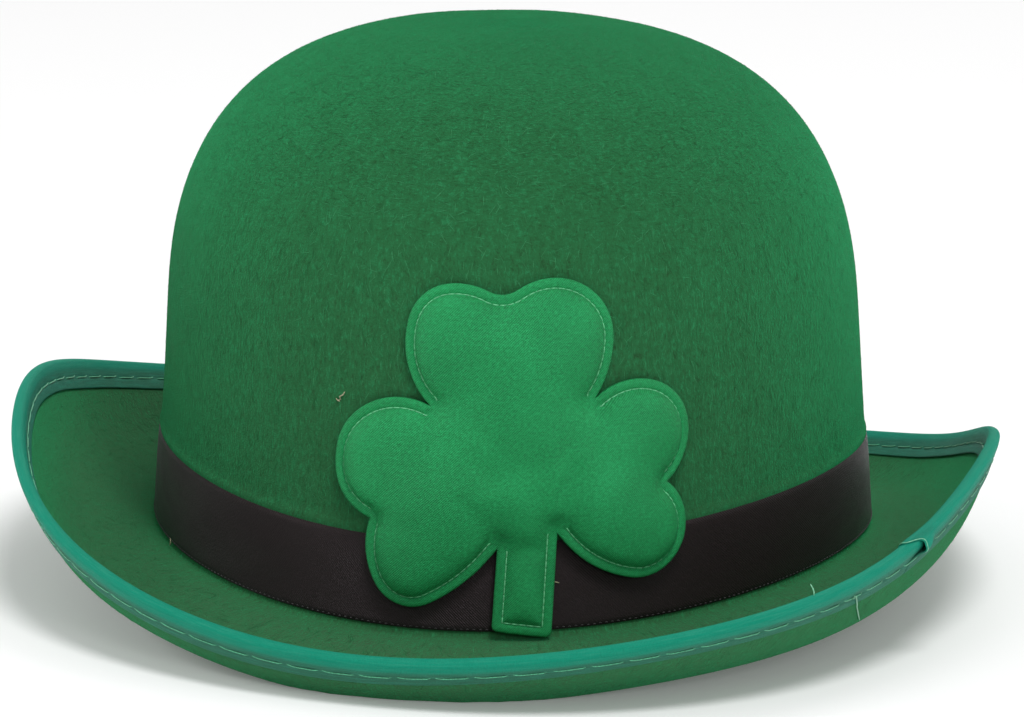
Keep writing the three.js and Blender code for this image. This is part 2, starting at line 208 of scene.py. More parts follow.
def root_place(angle, out, up):
    outward = np.stack([np.sin(angle) / half_width, -np.cos(angle) / half_length], -1)
    outward = unit(outward)
    x = half_width * np.sin(angle) + outward[..., 0] * out
    y = -half_length * np.cos(angle) + outward[..., 1] * out
    return np.stack([x, y, up], -1)


def brim_pulls(angle):
    """The four points of the brim's cross-section, each as out and up."""
    slope = np.radians(BRIM_SLOPE[0] + (BRIM_SLOPE[1] - BRIM_SLOPE[0]) * np.sin(angle) ** 2)
    lean = np.radians(read_around(EDGE_LEAN, angle))
    reach = BRIM_REACH * read_around(EDGE_REACH, angle)
    run = BRIM_RUN * reach
    curl = BRIM_REACH * read_around(EDGE_CURL, angle)
    root = np.stack([reach * 0, root_saddle(angle) - ROOT_TURN], -1)
    edge = np.stack([reach, BRIM_RISE * read_around(EDGE_RISE, angle)], -1)
    near = root + run[..., None] * np.stack([np.cos(slope), -np.sin(slope)], -1)
    far = edge - curl[..., None] * np.stack([np.sin(lean), np.cos(lean)], -1)
    return root, near, far, edge


def turn_share(pulls):
    return ROOT_TURN / (3 * np.linalg.norm(pulls[1] - pulls[0], axis=-1))


def share_from_edge(angle, length):
    pulls = brim_pulls(angle)
    return 1 - length / (3 * np.linalg.norm(pulls[3] - pulls[2], axis=-1))


def brim_section(angle, share):
    """Place and direction along the brim's upper face, each as out and up."""
    root, near, far, edge = brim_pulls(angle)
    t = np.asarray(share)[..., None]
    place = (1 - t) ** 3 * root + 3 * (1 - t) ** 2 * t * near + 3 * (1 - t) * t ** 2 * far + t ** 3 * edge
    along = (1 - t) ** 2 * (near - root) + 2 * (1 - t) * t * (far - near) + t ** 2 * (edge - far)
    return place, unit(along)


def brim_offset(angle, share, down, past=0):
    """The brim's upper face moved down or outward, and on past its edge."""
    angle, share, down, past = np.broadcast_arrays(angle, share, down, past)
    place, along = brim_section(angle, share)
    out = place[..., 0] + along[..., 1] * down + along[..., 0] * past
    up = place[..., 1] - along[..., 0] * down + along[..., 1] * past
    return root_place(angle, out, up)


def turn_offset(angle, share, down):
    """The turn from the wall to the brim, also moved down or outward."""
    angle, share, down = np.broadcast_arrays(angle, share, down)
    pulls = brim_pulls(angle)
    foot = pulls[0]
    top = foot + np.array([0, ROOT_TURN])
    end, _ = brim_section(angle, turn_share(pulls))
    t = share[..., None]
    place = (1 - t) ** 2 * top + 2 * (1 - t) * t * foot + t ** 2 * end
    along = unit((1 - t) * (foot - top) + t * (end - foot))
    out = place[..., 0] + along[..., 1] * down
    up = place[..., 1] - along[..., 0] * down
    return root_place(angle, out, up)


def rest_level():
    """The level that the brim is pressed flat to, below the band's lower edge."""
    shares = np.linspace(0, 1, 61)
    lows = [brim_offset(np.full(61, angle), shares, FELT_THICKNESS)[:, 2].min() for angle in (0, math.pi)]
    return max(lows) + REST_FLATTENING


def ripples(along, around, waves):
    """Gentle unevenness from a few seeded waves, between about -1 and 1."""
    draw = np.random.default_rng(waves)
    total = 0
    for _ in range(waves):
        turns = draw.integers(2, 9)
        pace = draw.uniform(-0.09, 0.09)
        total = total + np.sin(turns * around + pace * along + draw.uniform(0, TURN))
    return total / waves


# Meshes
def to_frame(places):
    return np.asarray(places).reshape(-1, 3) * MM + hat_shift


def add_object(name, mesh, material):
    piece = bpy.data.objects.new(name, mesh)
    bpy.context.collection.objects.link(piece)
    mesh.materials.append(material)
    mesh.shade_smooth()
    return piece


def mesh_from(name, places, faces, material):
    mesh = bpy.data.meshes.new(name)
    mesh.from_pydata(to_frame(places).tolist(), [], faces)
    mesh.update()
    return add_object(name, mesh, material)


def grid_faces(rows, columns, wrap_rows=False, wrap_columns=True):
    row_index = np.arange(rows if wrap_rows else rows - 1)
    column_index = np.arange(columns if wrap_columns else columns - 1)
    here, step = np.meshgrid(row_index, column_index, indexing="ij")
    there = (here + 1) % rows
    after = (step + 1) % columns
    near = [here * columns + step, there * columns + step]
    far = [there * columns + after, here * columns + after]
    return np.stack(near + far, -1).reshape(-1, 4)


def set_vectors(mesh, name, values):
    attribute = mesh.attributes.new(name, "FLOAT_VECTOR", "POINT")
    attribute.data.foreach_set("vector", np.asarray(values, dtype=np.float32).ravel())


def set_numbers(mesh, name, values):
    attribute = mesh.attributes.new(name, "FLOAT", "POINT")
    attribute.data.foreach_set("value", np.asarray(values, dtype=np.float32).ravel())


# Materials
class Shader:
    """A short way to write one material's nodes."""

    def __init__(self, name, **settings):
        self.material = bpy.data.materials.new(name)
        self.material.use_nodes = True
        self.nodes = self.material.node_tree.nodes
        self.links = self.material.node_tree.links
        self.surface = self.nodes["Principled BSDF"]
        for socket, value in settings.items():
            self.surface.inputs[socket.replace("_", " ")].default_value = value

    def node(self, kind, **settings):
        node = self.nodes.new(kind)
        for name, value in settings.items():
            setattr(node, name, value)
        return node

    def attribute(self, name):
        return self.node("ShaderNodeAttribute", attribute_name=name)

    def place(self, source, scale):
        mapping = self.node("ShaderNodeMapping")
        mapping.inputs["Scale"].default_value = scale
        self.links.new(source, mapping.inputs["Vector"])
        return mapping.outputs["Vector"]

    def noise(self, vector, scale, detail=2.0, rough=0.5, distort=0.0):
        noise = self.node("ShaderNodeTexNoise")
        noise.inputs["Scale"].default_value = scale
        noise.inputs["Detail"].default_value = detail
        noise.inputs["Roughness"].default_value = rough
        noise.inputs["Distortion"].default_value = distort
        self.links.new(vector, noise.inputs["Vector"])
        return noise.outputs["Fac"]

    def wave(self, vector, direction, scale, distortion, detail_scale):
        wave = self.node("ShaderNodeTexWave", wave_type="BANDS", bands_direction=direction)
        wave.inputs["Scale"].default_value = scale
        wave.inputs["Distortion"].default_value = distortion
        wave.inputs["Detail Scale"].default_value = detail_scale
        self.links.new(vector, wave.inputs["Vector"])
        return wave.outputs["Fac"]

    def math(self, operation, a, b):
        node = self.node("ShaderNodeMath", operation=operation)
        for socket, value in zip(node.inputs, (a, b)):
            if isinstance(value, (int, float)):
                socket.default_value = value
            else:
                self.links.new(value, socket)
        return node.outputs[0]

    def range(self, value, low, high, to_low=0.0, to_high=1.0):
        node = self.node("ShaderNodeMapRange", interpolation_type="SMOOTHSTEP")
        node.inputs["From Min"].default_value = low
        node.inputs["From Max"].default_value = high
        node.inputs["To Min"].default_value = to_low
        node.inputs["To Max"].default_value = to_high
        self.links.new(value, node.inputs["Value"])
        return node.outputs["Result"]

    def blend(self, share, a, b):
        node = self.node("ShaderNodeMix", data_type="RGBA")
        self.put(share, node.inputs[0])
        self.put(a, node.inputs[6])
        self.put(b, node.inputs[7])
        return node.outputs[2]

    def put(self, value, socket):
        if isinstance(value, (tuple, list)):
            socket.default_value = (*value, 1.0)
        elif isinstance(value, (int, float)):
            socket.default_value = value
        else:
            self.links.new(value, socket)

    def color(self, value):
        self.put(value, self.surface.inputs["Base Color"])

    def sum(self, *parts):
        """Adds up outputs, each with its own share."""
        total = 0.0
        for output, share in parts:
            total = self.math("ADD", self.math("MULTIPLY", output, share), total)
        return total

    def bump(self, height, distance, strength=1.0):
        bump = self.node("ShaderNodeBump")
        bump.inputs["Distance"].default_value = distance
        bump.inputs["Strength"].default_value = strength
        self.links.new(height, bump.inputs["Height"])
        self.links.new(bump.outputs["Normal"], self.surface.inputs["Normal"])


FELT_DARK = (0.016, 0.074, 0.024)
FELT_MID = (0.019, 0.124, 0.042)
FELT_LIGHT = (0.023, 0.194, 0.072)
FELT_STRAND = (0.050, 0.270, 0.112)
FELT_DUSTY_SHEEN = (0.062, 0.120, 0.064)


def felt_material():
    """Short brushed nap: upright strands on the walls that turn round the dome's top."""
    felt = Shader("felt", Roughness=0.95, Sheen_Weight=0.5, Sheen_Roughness=0.38,
                  Sheen_Tint=(0.02, 0.75, 0.27, 1), Specular_IOR_Level=0.06)
    nap = felt.attribute("nap").outputs["Vector"]
    dome = felt.attribute("dome").outputs["Fac"]

    def strands(along, around, detail, rough):
        upright = felt.noise(felt.place(nap, (along, around, around)), 1.0, detail, rough, 0.5)
        circling = felt.noise(felt.place(nap, (around, along, along)), 1.0, detail, rough, 0.5)
        mixed = felt.node("ShaderNodeMix", data_type="FLOAT")
        felt.links.new(dome, mixed.inputs[0])
        felt.links.new(upright, mixed.inputs[2])
        felt.links.new(circling, mixed.inputs[3])
        return mixed.outputs[0]

    fibres = strands(0.6, 1.9, 3.0, 0.65)
    hairs = strands(0.42, 4.2, 1.0, 0.5)
    clouds = felt.noise(felt.place(nap, (0.09, 0.11, 0.11)), 1.0, 3.0, 0.55)
    mottle = felt.noise(felt.place(nap, (0.65, 0.75, 0.75)), 1.0, 2.0, 0.6)
    fine = felt.noise(felt.place(nap, (2.4, 2.8, 2.8)), 1.0, 2.0, 0.8)
    tone = felt.sum((fibres, 0.38), (fine, 0.26), (mottle, 0.26), (clouds, 0.1))
    low = felt.blend(felt.range(tone, 0.37, 0.5), FELT_DARK, FELT_MID)
    body = felt.blend(felt.range(tone, 0.5, 0.63), low, FELT_LIGHT)
    uneven = felt.range(tone, 0.35, 0.65, 1.3, 0.7)
    # A greyer tone: partly dust, partly painted sheen of fuzz catching light
    dust_and_sheen = felt.math("MULTIPLY", felt.attribute("dust_and_sheen").outputs["Fac"], uneven)
    body = felt.blend(dust_and_sheen, body, FELT_DUSTY_SHEEN)
    felt.color(felt.blend(felt.range(hairs, 0.66, 0.76, 0.0, 0.5), body, FELT_STRAND))
    felt.bump(felt.sum((fibres, 0.7), (fine, 0.7)), 0.0005, 0.9)
    return felt.material


def nap_material():
    """The loose fibres: each one between dark and pale green."""
    fibre = Shader("felt_nap", Roughness=0.8, Sheen_Weight=0.3, Sheen_Roughness=0.4,
                   Sheen_Tint=(0.02, 0.75, 0.32, 1), Specular_IOR_Level=0.08)
    tone = fibre.attribute("tone").outputs["Fac"]
    strand = fibre.node("ShaderNodeTexCoord").outputs["Object"]
    uneven = fibre.noise(fibre.place(strand, (900, 900, 900)), 1.0)
    mixed = fibre.sum((tone, 0.8), (uneven, 0.2))
    low = fibre.blend(fibre.range(mixed, 0.0, 0.5), FELT_DARK, FELT_MID)
    fibre.color(fibre.blend(fibre.range(mixed, 0.5, 1.0), low, FELT_STRAND))
    return fibre.material


BAND_DARK = (0.008, 0.0052, 0.0048)
BAND_LIGHT = (0.019, 0.0125, 0.0128)


def band_material():
    """Black satin with a fine twill and a soft purple-grey gloss."""
    band = Shader("band_satin", Sheen_Weight=0.02, Sheen_Roughness=0.3, Anisotropic=0.95,
                  Anisotropic_Rotation=0.25, Sheen_Tint=(0.8, 0.6, 0.75, 1),
                  Specular_Tint=(1.0, 0.86, 0.95, 1), Specular_IOR_Level=0.34)
    weave = band.attribute("weave").outputs["Vector"]
    twill = band.noise(band.place(weave, (3.6, 1.6, 1)), 1.0, 2.0, 0.7)
    wave = band.wave(weave, "DIAGONAL", 0.95, 1.5, 2.0)
    clouds = band.noise(band.place(weave, (0.05, 0.12, 1)), 1.0, 2.0)
    band.color(band.blend(band.range(twill, 0.35, 0.75), BAND_DARK, BAND_LIGHT))
    band.bump(band.sum((wave, 0.4), (twill, 0.6)), 0.0003, 0.8)
    rough = band.range(clouds, 0.3, 0.7, 0.38, 0.5)
    band.links.new(rough, band.surface.inputs["Roughness"])
    return band.material


TAPE_FOLD_HUE_AND_HIGHLIGHT = (0.006, 0.262, 0.163)
TAPE_DULL = (0.036, 0.135, 0.080)
TAPE_WORN = (0.050, 0.330, 0.220)
TAPE_DEEP = (0.008, 0.095, 0.062)


def tape_material():
    """Blue-green woven tape: brighter on the rounded fold, partly its own colour and partly a painted
    highlight of the lit crest, duller on the flat legs.
    """
    tape = Shader("edge_tape", Roughness=0.6, Sheen_Weight=0.2, Sheen_Roughness=0.4,
                  Sheen_Tint=(0.02, 0.8, 0.6, 1), Specular_IOR_Level=0.14,
                  Specular_Tint=(0.45, 1.0, 0.9, 1))
    weave = tape.attribute("weave").outputs["Vector"]
    fold = tape.attribute("fold").outputs["Fac"]
    ribs = tape.wave(tape.place(weave, (1.9, 0.5, 1)), "X", 0.5, 2.0, 3.0)
    streaks = tape.noise(tape.place(weave, (0.12, 1.8, 1)), 1.0, 3.0, 0.6)
    grain = tape.noise(tape.place(weave, (3.8, 3.8, 1)), 1.0, 2.0, 0.75)
    # Painted highlight, in part: the fold's brighter colour stands partly for light on its crest
    body = tape.blend(fold, TAPE_DULL, TAPE_FOLD_HUE_AND_HIGHLIGHT)
    worn = tape.blend(tape.range(streaks, 0.4, 0.75, 0.0, 0.45), body, TAPE_WORN)
    tape.color(tape.blend(tape.range(grain, 0.42, 0.75, 0.0, 0.45), worn, TAPE_DEEP))
    tape.bump(tape.sum((ribs, 0.35), (grain, 0.65)), 0.00025, 0.8)
    return tape.material


SATIN_MID = (0.011, 0.200, 0.054)
SATIN_DEEP = (0.009, 0.143, 0.038)
SATIN_BRIGHT = (0.015, 0.268, 0.079)
SATIN_GLINT = (0.080, 0.560, 0.230)


def shamrock_material():
    """Green satin: fine diagonal twill, a crisp sheen, and painted glints: small bright flecks and
    lightened twill lines painted into its colour.
    """
    satin = Shader("shamrock_satin", Roughness=0.36, Sheen_Weight=0.1, Sheen_Roughness=0.25,
                   Sheen_Tint=(0.04, 0.9, 0.35, 1), Specular_Tint=(0.15, 1.0, 0.5, 1),
                   Specular_IOR_Level=0.5)
    weave = satin.attribute("weave").outputs["Vector"]
    wave = satin.wave(satin.place(weave, (-1, 1, 1)), "DIAGONAL", 1.15, 1.2, 2.5)
    grain = satin.noise(satin.place(weave, (3.6, 3.6, 1)), 1.0, 2.0, 0.8)
    slubs = satin.noise(satin.place(weave, (1.3, 1.7, 1)), 1.0, 2.0, 0.7)
    clouds = satin.noise(satin.place(weave, (0.07, 0.07, 1)), 1.0, 2.0)
    tone = satin.sum((slubs, 0.65), (clouds, 0.35))
    low = satin.blend(satin.range(tone, 0.38, 0.5), SATIN_DEEP, SATIN_MID)
    body = satin.blend(satin.range(tone, 0.5, 0.62), low, SATIN_BRIGHT)
    # Painted glints: bright flecks painted into the colour along the twill and at random
    body = satin.blend(satin.range(wave, 0.3, 0.9, 0.0, 0.2), body, SATIN_GLINT)
    satin.color(satin.blend(satin.range(grain, 0.60, 0.76, 0.0, 0.8), body, SATIN_GLINT))
    satin.bump(satin.sum((wave, 0.25), (grain, 0.5), (slubs, 0.25)), 0.0003, 0.9)
    return satin.material


def thread_material(name, color):
    thread = Shader(name, Roughness=0.45, Sheen_Weight=0.2)
    strand = thread.node("ShaderNodeTexCoord").outputs["Object"]
    ply = thread.noise(thread.place(strand, (1, 1, 1)), 2500.0, 2.0)
    dark = tuple(channel * 0.6 for channel in color)
    thread.color(thread.blend(thread.range(ply, 0.35, 0.65), dark, color))
    thread.bump(ply, 0.0001, 0.6)
    return thread.material


# Felt
FELT_AROUND = 300
FELT_DOME_ROWS = 52
FELT_TURN_ROWS = 5
FELT_BRIM_ROWS = 34
FELT_WAVINESS = 0.25
FELT_ROLL = 0.4  # the felt swells a little just above the band
CROWN_DUST_SHEEN = 0.14  # the felt is greyer low on the crown, and most on the brim: partly dust, partly painted sheen of fuzz catching light
BRIM_DUST_SHEEN = 0.5


def crown_unevenness(angle, height):
    settle = smooth_step(BAND_WIDTH, BAND_WIDTH + 15, height)
    roll = FELT_ROLL * np.exp(-((height - BAND_WIDTH - 0.9) / 1.3) ** 2)
    return FELT_WAVINESS * settle * ripples(height, angle, 7) + roll


def brim_unevenness(angle, share):
    first = turn_share(brim_pulls(angle))
    settle = np.sin(math.pi * (share - first) / (1 - first))
    return FELT_WAVINESS * settle * ripples(130 + 60 * share, angle, 9)


def felt_face(depth, floor):
    """One face of the felt as rows of places from the crown's top out to the brim's edge."""
    angle = np.arange(FELT_AROUND) * TURN / FELT_AROUND
    rows = []
    lean = math.pi / 2 * np.arange(1, FELT_DOME_ROWS + 1) / FELT_DOME_ROWS
    domes = DOME_START + (CROWN_HEIGHT - DOME_START) * np.maximum(np.cos(lean), 0) ** (2 / DOME_SIDE_POWER)
    roll_top, roll_foot = BAND_WIDTH + 4, BAND_WIDTH - 1
    upper = np.linspace(DOME_START, roll_top, 15)[1:]
    roll = np.linspace(roll_top, roll_foot, 11)[1:]
    for height in np.concatenate([domes, upper, roll, np.linspace(roll_foot, 0, 7)[1:]]):
        rows.append(crown_offset(angle, height, crown_unevenness(angle, height) - depth))
    for step in range(1, FELT_TURN_ROWS + 1):
        rows.append(turn_offset(angle, step / FELT_TURN_ROWS, depth))
    first = turn_share(brim_pulls(angle))
    for step in range(1, FELT_BRIM_ROWS + 1):
        share = first + (1 - first) * step / FELT_BRIM_ROWS
        rows.append(brim_offset(angle, share, depth + brim_unevenness(angle, share)))
    rows = np.array(rows)
    rows[..., 2] = np.maximum(rows[..., 2], floor)
    return rows


def build_felt(material):
    floor = rest_level()
    outer = felt_face(0, floor + FELT_THICKNESS)
    inner = felt_face(FELT_THICKNESS, floor)[::-1]
    rows = np.concatenate([outer, inner])
    top = np.array([CROWN_LEAN, 0, CROWN_HEIGHT])
    places = np.concatenate([rows.reshape(-1, 3), [top, top - [0, 0, FELT_THICKNESS]]])
    faces = grid_faces(len(rows), FELT_AROUND).tolist()
    outer_top = len(rows) * FELT_AROUND
    last = (len(rows) - 1) * FELT_AROUND
    for step in range(FELT_AROUND):
        after = (step + 1) % FELT_AROUND
        faces.append((outer_top, step, after))
        faces.append((outer_top + 1, last + after, last + step))
    piece = mesh_from("felt_hat_body", places, faces, material)
    # Length along each section and a seamless place round it, for the nap's direction
    steps = np.linalg.norm(np.diff(rows, axis=0), axis=-1).mean(axis=1)
    along = np.concatenate([[0], np.cumsum(steps)])
    angle = np.arange(FELT_AROUND) * TURN / FELT_AROUND
    ring = np.stack([np.cos(angle), np.sin(angle)], -1) * half_width
    nap = np.concatenate([np.broadcast_to(along[:, None, None], (*rows.shape[:2], 1)),
                          np.broadcast_to(ring, (*rows.shape[:2], 2))], -1).reshape(-1, 3)
    set_vectors(piece.data, "nap", np.concatenate([nap, [[0, 0, 0], [along[-1], 0, 0]]]))
    height = rows[..., 2].ravel()
    dome = smooth_step(70, 100, np.concatenate([height, [CROWN_HEIGHT, CROWN_HEIGHT]]))
    set_numbers(piece.data, "dome", dome)
    crown_rows = len(rows) // 2 - FELT_BRIM_ROWS - FELT_TURN_ROWS
    row = np.minimum(np.arange(len(rows)), len(rows) - 1 - np.arange(len(rows)))
    on_brim = np.repeat(smooth_step(crown_rows, crown_rows + 8, row), FELT_AROUND)
    # Share of the greyer tone, partly dust and partly painted sheen: low on the crown, most on the brim
    on_crown = CROWN_DUST_SHEEN * (1 - smooth_step(BAND_WIDTH, CROWN_HEIGHT, height))
    dust_and_sheen = on_crown + (BRIM_DUST_SHEEN - on_crown) * on_brim
    set_numbers(piece.data, "dust_and_sheen", np.concatenate([dust_and_sheen, [0, 0]]))
    return piece


# Loose nap: short fibres that lie on the felt
CROWN_STRANDS = 27000
BRIM_STRANDS = 7500
UNDER_STRANDS = 4500
STRAND_WIDTH = 0.1
STRAND_STEPS = np.array([-0.5, 0, 0.5])
STRAND_LIFT = np.array([-0.05, 0.08, 0.03])


def crown_strands(count):
    """Fibres spread evenly over the crown: mostly upright on its walls, round on its dome."""
    lean = math.pi / 2 * np.arange(1, 200) / 200
    domes = DOME_START + (CROWN_HEIGHT - DOME_START) * np.cos(lean) ** (2 / DOME_SIDE_POWER)
    heights = np.concatenate([domes, np.linspace(DOME_START, BAND_WIDTH + 1, 60)])
    section = crown_place(math.pi / 2, heights)
    run = length_along(section)
    ring = crown_share(heights)
    area = np.concatenate([[0], np.cumsum(np.diff(run) * (ring[1:] + ring[:-1]) / 2)])
    middle = np.interp(rng.uniform(0, area[-1], count), area, run)
    angle = rng.uniform(0, TURN, count)
    dome = 0.75 * smooth_step(70, 105, np.interp(middle, run, heights))
    circling = rng.uniform(0, 1, count) < dome
    heading = np.where(circling, math.pi / 2, 0) + rng.normal(0, 0.5, count)
    length = rng.uniform(0.9, 3.0, count)[:, None] * STRAND_STEPS
    along = np.clip(middle[:, None] + length * np.cos(heading)[:, None], 0.1, run[-1])
    height = np.interp(along, run, heights)
    radius = half_width * np.maximum(crown_share(height), 0.03)
    turned = angle[:, None] + length * np.sin(heading)[:, None] / radius
    lift = STRAND_LIFT + rng.uniform(0, 0.06, count)[:, None]
    paths = crown_offset(turned, height, crown_unevenness(turned, height) + lift)
    return paths, crown_normal(angle, height[:, 1])


def brim_strands(count, depth, floor):
    """Fibres that lie every way on one face of the brim."""
    angle = rng.uniform(0, TURN, count)
    first = turn_share(brim_pulls(angle)) + 0.05
    share = first + (share_from_edge(angle, TAPE_LEG) - first) * rng.uniform(0, 1, count)
    heading = rng.uniform(0, TURN, count)
    length = rng.uniform(1.0, 3.0, count)[:, None] * STRAND_STEPS
    shares = share[:, None] + length * np.cos(heading)[:, None] / BRIM_REACH
    turned = angle[:, None] + length * np.sin(heading)[:, None] / (half_width + BRIM_REACH / 2)
    away = -1 if depth == 0 else 1
    lift = (STRAND_LIFT + rng.uniform(0, 0.06, count)[:, None]) * away
    paths = brim_offset(turned, shares, depth + brim_unevenness(turned, shares) + lift)
    normals = (brim_offset(angle, share, 1.0) - brim_offset(angle, share, 0.0)) * away
    clear = paths[..., 2].min(axis=1) > floor + 0.1
    return paths[clear], normals[clear]


def nap_strands(material):
    floor = rest_level()
    parts = [crown_strands(CROWN_STRANDS), brim_strands(BRIM_STRANDS, 0, floor + FELT_THICKNESS),
             brim_strands(UNDER_STRANDS, FELT_THICKNESS, floor)]
    paths, normals = (np.concatenate(both) for both in zip(*parts))
    side = unit(np.cross(normals, paths[:, 2] - paths[:, 0]))[:, None] * STRAND_WIDTH / 2
    side = side * np.array([0.5, 1, 0.5])[:, None]
    places = np.stack([paths + side, paths - side], axis=2)
    first = np.arange(len(paths))[:, None] * 6
    faces = np.concatenate([first + [0, 1, 3, 2], first + [2, 3, 5, 4]])
    piece = mesh_from("felt_nap_strands", places, faces.tolist(), material)
    set_numbers(piece.data, "tone", np.repeat(rng.uniform(0, 1, len(paths)), 6))
    return piece


# Band
BAND_AROUND = 480
BAND_ROWS = 16
RIBBON_FACE = 0.6  # the ribbon's outer face from the felt
RIBBON_EDGE = 0.34
RIBBON_BACK = 0.15


def build_band(material):
    """The ribbon, from its joint at the back right round the crown."""
    angle = np.linspace(-math.pi, math.pi, BAND_AROUND)
    face_shares = np.linspace(1, 0, BAND_ROWS)
    bow = np.sin(math.pi * face_shares).clip(0) ** 0.5
    rows = []
    weave = []
    for share, out in zip(face_shares, RIBBON_EDGE + (RIBBON_FACE - RIBBON_EDGE) * bow):
        slack = 0.15 * ripples(share * 60, angle, 6) * math.sin(math.pi * share)
        rows.append((share, out + slack))
    rows += [(share, RIBBON_BACK) for share in np.linspace(0, 1, 4)]
    edge = 0.12 * ripples(0, angle, 8)
    places = [crown_offset(angle, share * (BAND_WIDTH + edge), out) for share, out in rows]
    for share, _ in rows:
        across = np.full_like(angle, share * BAND_WIDTH)
        weave.append(np.stack([angle * half_width, across, angle * 0], -1))
    faces = grid_faces(len(rows), BAND_AROUND, True, False).tolist()
    piece = mesh_from("satin_hat_band", np.array(places), faces, material)
    set_vectors(piece.data, "weave", np.array(weave).reshape(-1, 3))
    return piece


# Edge tape
TAPE_AROUND = 620
TAPE_SHEET = 0.35  # thickness of the woven tape
TAPE_LIFT = 0.45  # its outer face from the felt
TAPE_PAST = 1.2  # its fold stands this far past the felt's edge
TAPE_FOLD_TINT_AND_HIGHLIGHT = 1.7  # the bright fold colour, partly a painted highlight, reaches this far down each leg
TAPE_LAP_ANGLE = math.radians(57)
TAPE_LAP = math.radians(4)
LAP_RAISE = 0.42
LAP_MOUTH = 1.5  # the lap's end gapes this much more on its outer side
LAP_SLANT = math.radians(3)  # and is cut back there
LAP_SETTLE = math.radians(8)
STITCH_INWARD = 3.85
STITCH_PITCH = 8.8
STITCH_RADIUS = 0.14
PICOT_PITCH = 1.47
PICOT_RADIUS = 0.12
LOOSE_THREAD_RADIUS = 0.17
RAVELLED_END_RADIUS = 0.1
LINT_RADIUS = 0.16
RING_STEPS = 2400  # places round a seam where its length is measured


def tape_profile():
    """The folded tape's outer and inner lines as (inward, down), and the way in to the felt."""
    legs = np.linspace(TAPE_LEG, 0, 22)
    groove = 0.2 * np.exp(-((legs - STITCH_INWARD) / 0.5) ** 2)
    height = TAPE_LIFT + 0.12 * np.exp(-((legs - 1.0) / 1.0) ** 2) - groove
    height = height - 0.1 * smooth_step(TAPE_LEG - 0.5, TAPE_LEG, legs)
    bend = math.pi * np.arange(1, 14) / 14
    radius = FELT_THICKNESS / 2 + height[-1]
    fold = np.stack([-TAPE_PAST * np.sin(bend), FELT_THICKNESS / 2 - radius * np.cos(bend)], -1)
    inner_leg = np.stack([legs, -height], -1)
    outer_leg = np.stack([legs[::-1], FELT_THICKNESS + height[::-1]], -1)
    outer = np.concatenate([inner_leg, fold, outer_leg])
    along = unit(np.gradient(outer, axis=0))
    inward = np.stack([along[:, 1], -along[:, 0]], -1)
    return outer, outer + TAPE_SHEET * inward, inward


def lap_lift(turn, inward, down):
    """How far the tape stands off where its raised end laps over the other."""
    settle = 1 - smooth_step(0, LAP_SETTLE, turn)
    outer_side = np.clip(down - FELT_THICKNESS / 2, 0, 1)
    mouth = LAP_MOUTH * outer_side * np.exp(-((inward - 0.9) / 1.4) ** 2) * settle ** 2
    sewn = outer_side * smooth_step(1.8, 3.4, inward)
    return LAP_RAISE * settle * (1 - 0.7 * sewn) + mouth


def lap_cut(turn, inward, down):
    """How far round the raised end is cut back: nothing inside, most on its outer shoulder."""
    share = smooth_step(0.2, 2.6, down) * (1 - 0.65 * smooth_step(1.6, 3.6, inward))
    return LAP_SLANT * share * (1 - smooth_step(0, LAP_SETTLE, turn))


def build_tape(material):
    """The folded tape, and the line of its raised end."""
    outer, inner, towards = tape_profile()
    profile = np.concatenate([outer, inner[::-1]])
    towards = np.concatenate([towards, towards[::-1]])
    outer_count = len(outer)
    last = 2 * outer_count - 1
    # The strip starts at the raised end of the lap and ends tucked under it.
    turn = np.linspace(0, TURN + TAPE_LAP, TAPE_AROUND)
    angle = turn + TAPE_LAP_ANGLE
    edge = brim_offset(angle, np.ones_like(angle), 0.0)
    length = length_along(edge)
    pucker = np.cos(TURN * length / STITCH_PITCH)
    wander = 0.2 * ripples(0, 3 * angle, 8)
    rows = []
    weave = []
    fold = []
    for index, ((inward, down), way) in enumerate(zip(profile, towards)):
        dimple = 0.08 * pucker * math.exp(-((inward - STITCH_INWARD) / 1.6) ** 2)
        lift = lap_lift(turn, inward, down) + dimple
        reach = inward - way[0] * lift + wander * (inward > TAPE_LEG - 0.4)
        offset = down - way[1] * lift
        here = angle + lap_cut(turn, inward, down)
        share = np.minimum(share_from_edge(here, np.maximum(reach, 0)), 1)
        rows.append(brim_offset(here, share, offset, np.maximum(-reach, 0)))
        across = min(index, last - index) * 0.42
        weave.append(np.stack([length, np.full_like(length, across), length * 0], -1))
        # Share of the fold colour, which is partly a painted highlight of the lit crest
        tint_and_highlight = math.exp(-(max(inward, 0) / TAPE_FOLD_TINT_AND_HIGHLIGHT) ** 3)
        fold.append(np.full_like(length, tint_and_highlight))
    faces = grid_faces(len(rows), TAPE_AROUND, True, False).tolist()
    for step in range(outer_count - 1):
        ring = [row * TAPE_AROUND for row in (step, step + 1, last - 1 - step, last - step)]
        faces.append(tuple(reversed(ring)))
        faces.append(tuple(corner + TAPE_AROUND - 1 for corner in ring))
    piece = mesh_from("brim_edge_tape", rows, faces, material)
    set_vectors(piece.data, "weave", np.array(weave).reshape(-1, 3))
    set_numbers(piece.data, "fold", np.array(fold).ravel())
    raised_end = np.array(rows)[outer_count // 3 + 3:outer_count * 2 // 3 + 3, 0]
    return piece, raised_end


